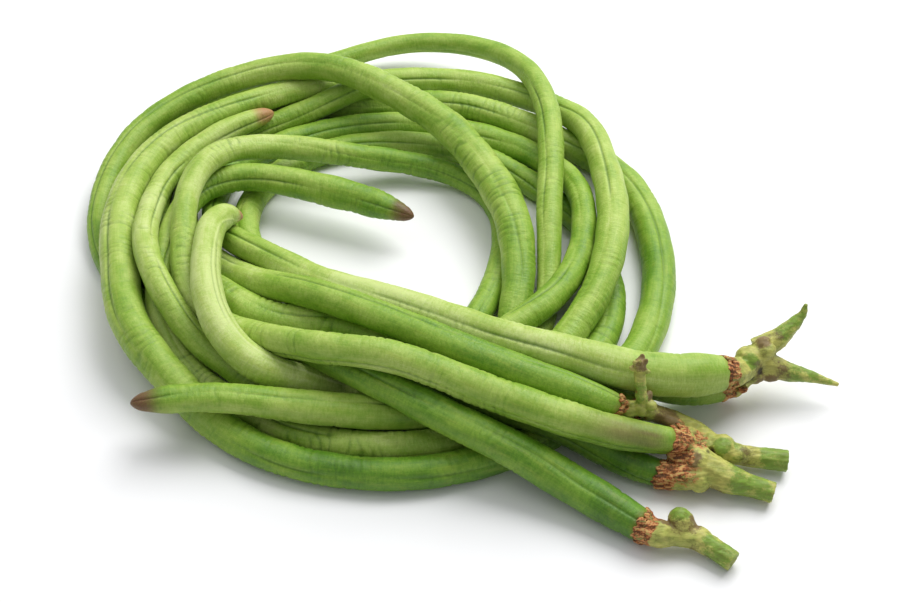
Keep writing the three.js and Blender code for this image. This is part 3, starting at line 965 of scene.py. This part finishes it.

# %% [markdown]
# Places on the stalks are written in millimetres in the part's own frame. A lump is a place, the way it
# points, its half length, half width and half thickness. A spot is a place, a reach and a strength, and
# it colours what lies near it. A cut is a place, the way it faces and a reach, and there the skin is
# pushed in a little. A calyx has its rows of scales and their reach. Random places would be quicker, but
# each node of the real stalks has its own scars and buds.

# %% Looks of the four stalks
# The pit spots paint the shade inside small pits nearly black.
STALK_LOOKS = {
    "stalk_1": {
        "calyx": {"pod_1": (2, 1.8), "pod_2": (2, 1.8)},
        "lumps": [
            ((84.1, -47.3, 14.6), (1, 0.3, 0.4), 3.4, 3.2, 2.8),
            ((82.9, -49.6, 14.6), (1, 0, 0), 2.0, 1.8, 1.6),
            ((84.6, -49.2, 9.4), (1, 0, 0), 3.6, 2.6, 2.4),
            ((88.8, -48.2, 9.0), (1, -0.2, -0.2), 3.6, 2.6, 2.4),
            ((86.4, -45.2, 16.4), (0.8, 0.3, 0.5), 3.2, 2.6, 2.4),
            ((87.4, -47.4, 16.4), (0.7, 0.35, 0.5), 3.0, 2.3, 2.1),
            ((81.4, -53.0, 7.8), (1, 0.2, 0), 1.5, 1.3, 1.2),
        ],
        "husk": [((81.0, -54.2, 7.6), 2.4, 0.9)],
        "bruise": [
            ((88.6, -52.6, 8.2), 4.2, 0.9),
            ((86.6, -45.0, 18.4), 2.8, 0.75),
            ((81.0, -50.6, 10.4), 2.6, 0.8),
            ((86.6, -47.8, 13.0), 5.0, 0.42),
            ((91.4, -49.4, 10.0), 4.0, 0.5),
            ((90.0, -44.4, 18.6), 3.0, 0.45),
        ],
        "fresh": [
            ((82.9, -49.8, 15.6), 2.8, 1.0),
            ((95.6, -42.6, 22.4), 7.0, 0.75),
            ((99.0, -49.6, 8.8), 8.0, 0.7),
        ],
        "pit_shade": [
            ((86.2, -50.3, 12.0), 1.3, 1.0),
            ((83.6, -51.6, 10.6), 0.9, 0.9),
        ],
        "cuts": [],
    },
    "stalk_2": {
        "calyx": {"pod_3": (1, 0.7), "pod_4": (1, 0.9)},
        "lumps": [
            ((51.0, -63.8, 28.8), (0, 0, 1), 2.3, 1.9, 1.7),
            ((49.6, -64.8, 30.6), (-0.3, 0, 1), 1.5, 0.7, 0.6),
            ((52.3, -64.0, 30.4), (0.35, 0, 1), 1.5, 0.6, 0.7),
            ((50.9, -64.9, 31.2), (0.0, -0.2, 1), 1.3, 0.6, 0.6),
            ((51.6, -62.6, 30.6), (0.1, 0.3, 1), 1.3, 0.8, 0.7),
            ((49.2, -64.2, 28.2), (-0.8, 0, 0.5), 1.2, 0.8, 0.7),
            ((52.8, -64.6, 27.4), (0.8, -0.2, 0.4), 1.2, 0.7, 0.7),
            ((53.7, -65.6, 19.2), (0.5, 0, 1), 1.9, 1.4, 1.2),
            ((51.9, -67.8, 16.6), (0.3, 0, -1), 2.8, 1.8, 1.6),
            ((61.0, -66.4, 9.8), (1, -0.4, -0.4), 4.2, 2.2, 1.9),
            ((66.4, -69.6, 7.6), (1, -0.8, -0.3), 3.6, 2.4, 2.0),
            ((73.4, -72.6, 6.8), (1, 0, 0), 2.8, 2.8, 2.4),
            ((77.6, -73.4, 5.2), (1, 0, 0), 4.0, 2.9, 2.7),
            ((90.2, -74.5, 4.0), (0.1, 1, 0), 2.6, 1.1, 2.6),
        ],
        "husk": [((67.4, -71.0, 8.2), 3.2, 0.95), ((63.8, -67.4, 10.6), 2.2, 0.7)],
        "bruise": [
            ((51.0, -63.8, 30.2), 2.8, 1.0),
            ((53.7, -65.6, 19.8), 2.0, 0.9),
            ((59.0, -66.0, 11.0), 5.0, 0.85),
            ((80.0, -74.0, 5.4), 3.6, 0.5),
            ((71.4, -73.4, 5.4), 2.2, 0.9),
        ],
        "fresh": [
            ((73.6, -73.6, 9.0), 2.8, 1.0),
            ((89.0, -74.4, 4.4), 6.5, 0.95),
            ((51.6, -66.6, 22.0), 4.0, 0.7),
            ((78.6, -74.0, 7.0), 3.4, 0.5),
        ],
        "pit_shade": [((71.4, -73.6, 7.0), 1.0, 1.0)],
        "cuts": [((91.2, -74.7, 4.0), (1, -0.05, 0), 2.2)],
    },
    "stalk_3": {
        "calyx": {"pod_5": (3, 3.4), "pod_6": (3, 3.2)},
        "lumps": [
            ((65.4, -74.6, 9.8), (1, -0.5, -0.3), 3.6, 2.6, 2.0),
            ((61.8, -76.4, 8.0), (1, -0.3, 0), 3.2, 2.6, 2.4),
            ((66.6, -77.4, 7.8), (1, -0.4, -0.4), 3.4, 3.0, 2.4),
            ((64.0, -81.0, 5.4), (1, 0, 0), 3.6, 2.6, 2.2),
            ((68.6, -80.4, 6.2), (1, -0.3, 0), 3.2, 2.8, 2.6),
            ((63.8, -70.6, 11.6), (1, -0.8, -0.3), 3.4, 0.9, 0.7),
            ((68.0, -75.4, 10.2), (1, -0.9, -0.3), 3.4, 1.0, 0.8),
            ((73.2, -80.8, 5.8), (1, -0.2, -0.05), 4.2, 3.3, 3.2),
            ((85.2, -84.4, 3.6), (0.3, 1, 0), 2.5, 1.1, 2.6),
        ],
        "husk": [
            ((62.6, -74.6, 10.0), 4.4, 1.0),
            ((62.8, -80.0, 6.6), 4.8, 1.0),
            ((66.6, -74.0, 9.4), 3.2, 0.9),
            ((66.4, -81.4, 5.2), 2.8, 0.8),
        ],
        "bruise": [
            ((65.2, -79.0, 9.6), 2.8, 0.8),
            ((60.6, -77.2, 8.8), 2.0, 0.9),
            ((70.4, -83.4, 2.6), 3.2, 0.5),
        ],
        "fresh": [
            ((80.0, -83.6, 6.2), 7.5, 0.8),
            ((66.0, -71.6, 12.4), 1.6, 0.4),
        ],
        "pit_shade": [
            ((66.0, -79.6, 10.0), 0.9, 0.9),
            ((61.6, -79.6, 9.0), 0.8, 0.9),
            ((68.8, -77.0, 10.4), 0.7, 0.8),
        ],
        "cuts": [((86.3, -84.9, 3.4), (1, -0.3, -0.05), 2.1)],
    },
    "stalk_4": {
        "calyx": {"pod_7": (3, 2.6)},
        "lumps": [
            ((59.9, -95.8, 7.4), (0.3, 0.2, 1), 3.2, 2.8, 2.8),
            ((61.6, -96.8, 5.2), (1, -0.3, 0), 3.2, 2.7, 2.6),
            ((65.2, -99.0, 4.4), (1, -0.6, -0.1), 3.2, 2.6, 2.4),
            ((57.6, -98.6, 4.4), (1, -0.1, 0), 2.2, 1.7, 1.8),
            ((72.0, -105.0, 3.2), (0.5, 1, 0), 2.2, 1.0, 2.4),
        ],
        "husk": [],
        "bruise": [
            ((63.4, -97.8, 7.4), 2.6, 0.8),
            ((56.4, -97.2, 7.0), 1.8, 0.9),
            ((65.0, -101.6, 2.8), 3.0, 0.4),
            ((59.6, -98.4, 8.0), 2.4, 0.6),
        ],
        "fresh": [
            ((59.8, -95.8, 10.4), 3.2, 0.9),
            ((69.6, -103.4, 4.8), 6.0, 0.7),
        ],
        "pit_shade": [((57.6, -97.8, 6.6), 1.0, 1.0)],
        "cuts": [((72.9, -105.9, 3.0), (1, -0.8, -0.1), 2.0)],
    },
}
print("lumps by stalk:", {name: len(look["lumps"]) for name, look in STALK_LOOKS.items()})

# %% [markdown]
# A stalk has grown as one body, so its lumps must not look stuck together. The voxel remesh joins them,
# and a smoothing pass takes off the steps of the voxels.

# %% Melt the lumps together
VOXEL = 0.32 * MM


def heap_of(name):
    """The CAD stalk with its calyx scales and lumps, all still separate."""
    look = STALK_LOOKS[name]
    pick = np.random.RandomState(len(look["lumps"]) * 17)
    heap = welded(name)
    for pod, (rows, reach) in look["calyx"].items():
        calyx(heap, stem_ends[pod], pick, reach, rows)
    for at, axis, along, across, thick in look["lumps"]:
        lump(heap, at, axis, along, across, thick)
    mesh = bpy.data.meshes.new(f"{name}_heap")
    heap.to_mesh(mesh)
    heap.free()
    return mesh


def melted(name):
    """One closed skin around the heap, from a voxel remesh."""
    heap = bpy.data.objects.new(f"{name}_heap", heap_of(name))
    bpy.context.scene.collection.objects.link(heap)
    remesh = heap.modifiers.new("melt", "REMESH")
    remesh.mode = "VOXEL"
    remesh.voxel_size = VOXEL
    smooth = heap.modifiers.new("soften", "SMOOTH")
    smooth.iterations = 3
    smooth.factor = 0.5
    graph = bpy.context.evaluated_depsgraph_get()
    mesh = bpy.data.meshes.new_from_object(heap.evaluated_get(graph))
    bpy.data.objects.remove(heap)
    return mesh


stalk_meshes = {name: melted(name) for name in STALK_NAMES}
print("faces by stalk:", {name: len(mesh.polygons) for name, mesh in stalk_meshes.items()})

# %% [markdown]
# The stalks have husk, bruised and fresh green parts, and pits whose shade is painted nearly black.
# They could be painted on by hand, but a spot with a place and a reach is easier to move. Each corner
# takes the strongest spot near it. The dried cups are found from the pods' ends, so they need no spots.

# %% Where the stalks are husk or bruised
CUP_EDGE = (-0.6, 1.0)  # mm around the calyx's reach over which the dried cup ends
CUP_RADIUS = (6.5, 8.0)


def near_spots(points, spots):
    """Strength of the strongest of a list of spots at each point."""
    total = np.zeros(len(points))
    for at, reach, strength in spots:
        far = np.linalg.norm(points - np.array(at), axis=1)
        total = np.maximum(total, strength * (1 - soft_step(far, 0.55 * reach, 1.25 * reach)))
    return total


def out_and_across(points, at, axis):
    """Distance of each point from a place, along an axis and away from it."""
    away = points - np.array(at)
    outward = away @ axis
    return outward, np.linalg.norm(away - outward[:, None] * axis, axis=1)


def near_calyx(points, look):
    """1 on the dried cup at the end of each pod of a stalk, 0 away from it."""
    total = np.zeros(len(points))
    for pod, (_, reach) in look["calyx"].items():
        outward, across = out_and_across(points, stem_ends[pod]["at"], stem_ends[pod]["out"])
        band = 1 - soft_step(outward, reach + CUP_EDGE[0], reach + CUP_EDGE[1])
        total = np.maximum(total, band * (1 - soft_step(across, *CUP_RADIUS)))
    return total


print("bruises by stalk:", {name: len(look["bruise"]) for name, look in STALK_LOOKS.items()})

# %% [markdown]
# The stalks have a rough bark, rougher on the dried cups. Bump alone would leave their outlines smooth,
# so noise in three sizes moves the corners. Where a stalk was cut, its end is pushed in a little, as the
# soft core dries faster than the rim.

# %% Bark and cut ends
BARK = [(0.45, 0.15), (1.1, 0.17), (2.6, 0.09)]  # waves per mm, height in mm
BARK_STRETCH = np.array([0.55, 1.0, 1.0])
CUT_DEPTH = 0.7


def roughen(points, normals, husk):
    """Points pushed in and out by noise, more so on the dried cups."""
    moved = np.zeros(len(points))
    for scale, height in BARK:
        moved += height * np.array([noise.noise(Vector(p)) for p in points * BARK_STRETCH * scale])
    return points + normals * (moved * (0.7 + 1.2 * husk))[:, None]


def cut_off(points, cuts):
    """Points with the cut ends pushed in, and 1 for each point on such an end."""
    on_cut = np.zeros(len(points))
    for at, axis, reach in cuts:
        axis = np.array(axis) / np.linalg.norm(axis)
        outward, across = out_and_across(points, at, axis)
        hollow = soft_step(outward, -1.6, -0.2) * (1 - soft_step(across, 0.45 * reach, reach))
        points = points - (CUT_DEPTH * hollow)[:, None] * axis
        inside = 1 - soft_step(across, 1.2 * reach, 1.8 * reach)
        on_cut = np.maximum(on_cut, soft_step(outward, -1.0, 0.2) * inside)
    return points, on_cut


print("cut ends:", sum(len(look["cuts"]) for look in STALK_LOOKS.values()))

# %% [markdown]
# Now the four stalks are finished in one loop: the bark is laid on, the ends are cut, and the values for
# the material are stored on the corners, as for the pods.

# %% Make the four stalks


def read_vectors(items, key):
    """Coordinates or directions of a mesh as rows of three."""
    flat = np.zeros(3 * len(items))
    items.foreach_get(key, flat)
    return flat.reshape(-1, 3)


def stalk_piece(name, mesh):
    """A finished stalk."""
    look = STALK_LOOKS[name]
    points = read_vectors(mesh.vertices, "co") / MM
    normals = read_vectors(mesh.vertex_normals, "vector")
    husk = np.maximum(near_calyx(points, look), near_spots(points, look["husk"]))
    points, on_cut = cut_off(roughen(points, normals, husk), look["cuts"])
    store(mesh, "husk", husk)
    # The pit spots are painted shade.
    for label in ("bruise", "fresh", "pit_shade"):
        store(mesh, label, near_spots(points, look[label]))
    store(mesh, "cut", on_cut)
    points[:, 2] = np.maximum(points[:, 2], LOWEST)
    mesh.vertices.foreach_set("co", (points * MM).ravel())
    mesh.update()
    return new_piece(f"{name}_skin", mesh)


stalks = {name: stalk_piece(name, mesh) for name, mesh in stalk_meshes.items()}
print("finished stalks:", list(stalks))

# %% [markdown]
# The stalks are woodier than the pods: matte, yellow-green, with green and bruised patches. Round patches
# would look stamped on, so broad noise breaks them up and fine noise frays their edges.

# %% Green wood
STALK_PALE = rgb(192, 190, 100)
STALK_GREEN = rgb(128, 156, 60)
STALK_FRESH = rgb(108, 150, 44)
STALK_BRUISE = rgb(118, 88, 60)


def green_wood(s, blotches, grain):
    """Yellow-green wood with fresh and bruised parts."""
    base = s.mix(s.fit(blotches, 0.35, 0.7, 0.0, 0.55), STALK_PALE, STALK_GREEN)
    ragged = s.math("ADD", s.swing(blotches, 0.35), s.swing(grain, 0.12))
    fresh = s.fit(s.math("ADD", s.value("fresh"), ragged), 0.2, 0.8)
    colour = s.mix(s.math("MULTIPLY", fresh, 0.8), base, STALK_FRESH)
    bruise = s.fit(s.math("ADD", s.value("bruise"), ragged), 0.15, 0.85, 0.0, 0.85)
    return s.mix(bruise, colour, STALK_BRUISE)


print("pale wood as light values:", [round(c, 3) for c in STALK_PALE])

# %% [markdown]
# The dried cups are reddish brown and full of fibres. Fibres could be thin strips of mesh, but these are
# finer than a hair, so they come from noise that is stretched along the stalks. Where the cups are worn,
# the wood shows through. Cut ends are pale, and the shade in the pits is painted nearly black.

# %% Stalk material
HUSK_COLOURS = [
    (0.0, rgb(78, 44, 28)),
    (0.3, rgb(130, 74, 42)),
    (0.55, rgb(186, 110, 60)),
    (0.78, rgb(204, 156, 104)),
    (1.0, rgb(176, 170, 88)),
]
STREAK_BROWN = rgb(84, 70, 30)
CUT_PALE = rgb(150, 166, 84)
# Near-black painted shade for the pits.
PIT_SHADE_DARK = rgb(36, 26, 16)
FIBRE_BUMP = (0.5, 0.3 * MM)
GRAIN_BUMP = (0.35, 0.12 * MM)
WOOD_AND_HUSK = (0.5, 0.78)  # roughness


def stalk_material():
    """Yellow-green stalk with green, bruised and dried brown parts."""
    s = Shader("bean_stalk")
    place = s.nodes.new("ShaderNodeTexCoord").outputs["Object"]
    fibres = s.cloud(s.scaled(place, (0.22, 1.0, 1.0)), 1200, 4.0, 0.6)
    blotches = s.cloud(place, 300, 4.0, 0.6)
    grain = s.cloud(place, 2400, 3.0, 0.6)
    husk_tone = s.math("ADD", s.fit(fibres, 0.34, 0.66, 0.0, 0.85), s.fit(grain, 0.3, 0.7, -0.2, 0.25))
    worn = s.math("ADD", s.swing(fibres, 0.3), s.fit(blotches, 0.35, 0.7, 0.1, -0.5))
    husk = s.fit(s.math("ADD", s.value("husk"), worn), 0.25, 0.7)
    colour = s.mix(husk, green_wood(s, blotches, grain), s.ramp(husk_tone, HUSK_COLOURS))
    colour = s.mix(s.fit(fibres, 0.42, 0.6, 0.28, 0.0), colour, STREAK_BROWN)
    colour = s.mix(s.math("MULTIPLY", s.value("cut"), 0.75), colour, CUT_PALE)
    # Painted shade: the pits are made nearly black.
    colour = s.mix(s.math("MULTIPLY", s.value("pit_shade"), 0.9), colour, PIT_SHADE_DARK)
    roughness = s.fit(husk, 0.0, 1.0, *WOOD_AND_HUSK)
    normal = s.bump(fibres, *FIBRE_BUMP)
    normal = s.bump(grain, *GRAIN_BUMP, normal)
    return s.finish(colour, roughness, normal, 0.35)


bean_stalk = stalk_material()
for name, piece in stalks.items():
    piece.data.materials.append(bean_stalk)
    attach(piece, "root")
    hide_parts(name)
print("bean stalk has", len(bean_stalk.node_tree.nodes), "nodes")

# %% [markdown]
# The beans lie on a white surface. A plain white background behind them would be simpler, but a wide
# sheet catches their shadows and throws soft light back from below.

# %% Floor
FLOOR_SIZE = 6.0
PAPER_WHITES = (rgb(238, 238, 240), rgb(243, 243, 244))


def floor_material():
    """Matte white paper with a barely visible mottle."""
    s = Shader("white_paper")
    place = s.nodes.new("ShaderNodeTexCoord").outputs["Object"]
    mottle = s.cloud(place, 30, 2.0)
    colour = s.mix(mottle, *PAPER_WHITES)
    normal = s.bump(s.cloud(place, 900, 2.0), 0.05, 0.1 * MM)
    return s.finish(colour, 0.9, normal, 0.1)


def make_floor():
    """A wide sheet just under the beans."""
    mesh = bpy.data.meshes.new("floor")
    half = FLOOR_SIZE / 2
    corners = [(-half, -half, 0), (half, -half, 0), (half, half, 0), (-half, half, 0)]
    mesh.from_pydata(corners, [], [(0, 1, 2, 3)])
    mesh.materials.append(floor_material())
    floor = bpy.data.objects.new("floor", mesh)
    bpy.context.scene.collection.objects.link(floor)


make_floor()
print("floor of", FLOOR_SIZE, "m")

# %% [markdown]
# The light in the photograph is bright and soft and comes mostly from above and from behind on the right.
# A sky alone would give no direction and small lamps would give hard shadows. An even sky with two large
# lamps gives pale upper sides, gentle shadows towards the front left and darker gaps between the pods.

# %% Light
SKY_LIGHT = 0.37
LAMPS = [  # name, place in m, size in m, power
    ("window", (0.35, 0.5, 0.85), 0.8, 12.8),
    ("ceiling", (-0.4, 0.15, 1.1), 0.9, 3.0),
]


def make_sky():
    """Even white light from all around."""
    world = bpy.data.worlds.new("white_sky")
    world.use_nodes = True
    background = world.node_tree.nodes["Background"]
    background.inputs["Color"].default_value = (0.98, 0.99, 1.0, 1.0)
    background.inputs["Strength"].default_value = SKY_LIGHT
    bpy.context.scene.world = world


def make_lamp(name, spot, size, power):
    """A square soft lamp that points at the middle of the bunch."""
    data = bpy.data.lights.new(name, "AREA")
    data.size = size
    data.energy = power
    lamp = bpy.data.objects.new(name, data)
    lamp.location = spot
    lamp.rotation_euler = (-Vector(spot)).to_track_quat("-Z", "Y").to_euler()
    bpy.context.scene.collection.objects.link(lamp)


make_sky()
for name, spot, size, power in LAMPS:
    make_lamp(name, spot, size, power)
bpy.context.scene.view_settings.view_transform = "Standard"
print("sky", SKY_LIGHT, "and", len(LAMPS), "lamps")
